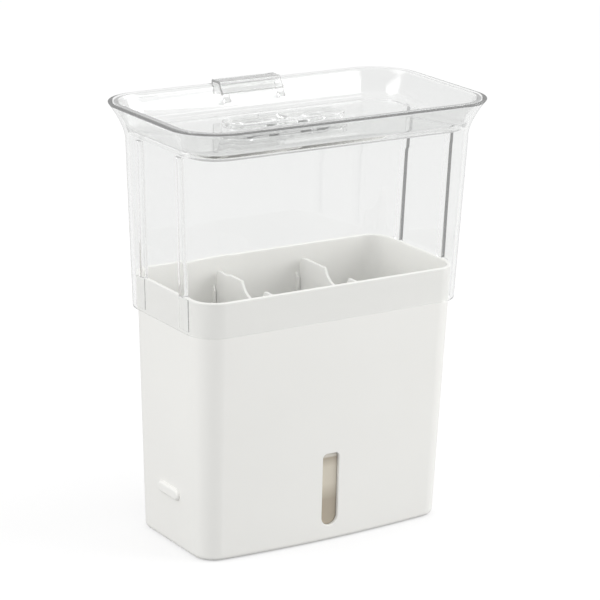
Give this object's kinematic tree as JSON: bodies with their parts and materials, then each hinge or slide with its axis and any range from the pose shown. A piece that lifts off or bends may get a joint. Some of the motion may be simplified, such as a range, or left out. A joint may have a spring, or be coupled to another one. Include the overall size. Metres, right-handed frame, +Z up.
{
  "type": "herb keeper",
  "caption": "Fridge-door herb keeper: tapered white water tub with a level window, clear flared hood on its rim, drop-in lid with a vent slider and handle, and lift-out dividers.",
  "frame": {"origin": "middle of the flat foot pad that the tub stands on", "axes": "+Z up, -Y towards the front with the water window, +X to the right seen from the front"},
  "size_m": [0.1938, 0.1128, 0.2417],
  "materials": {
    "white_plastic": "satin moulded plastic",
    "divider_plastic": "satin moulded plastic",
    "clear_plastic": "clear glossy plastic",
    "smoky_plastic": "smoky clear plastic",
    "grey_rubber": "soft matt rubber"
  },
  "bodies": {
    "tub": {"tub": "white_plastic", "water_window": "smoky_plastic", "window_seal": "grey_rubber"},
    "divider_left": {"divider_left": "divider_plastic"},
    "divider_right": {"divider_right": "divider_plastic"},
    "hood": {"hood": "clear_plastic"},
    "lid": {"lid": "clear_plastic", "lid_handle": "clear_plastic"},
    "vent_slider": {"vent_slider": "clear_plastic"}
  },
  "joints": [
    {"name": "hood_lift", "type": "slide", "parent": "tub", "child": "hood", "axis": [0, 0, 1], "range_m": [0, 0.13]},
    {"name": "lid_lift", "type": "slide", "parent": "hood", "child": "lid", "axis": [0, 0, 1], "range_m": [0, 0.05]},
    {"name": "vent_slide", "type": "slide", "parent": "lid", "child": "vent_slider", "axis": [1, 0, 0], "range_m": [0, 0.01]},
    {"name": "divider_left_lift", "type": "slide", "parent": "tub", "child": "divider_left", "axis": [0, 0, 1], "range_m": [0, 0.075]},
    {"name": "divider_right_lift", "type": "slide", "parent": "tub", "child": "divider_right", "axis": [0, 0, 1], "range_m": [0, 0.075]}
  ]
}
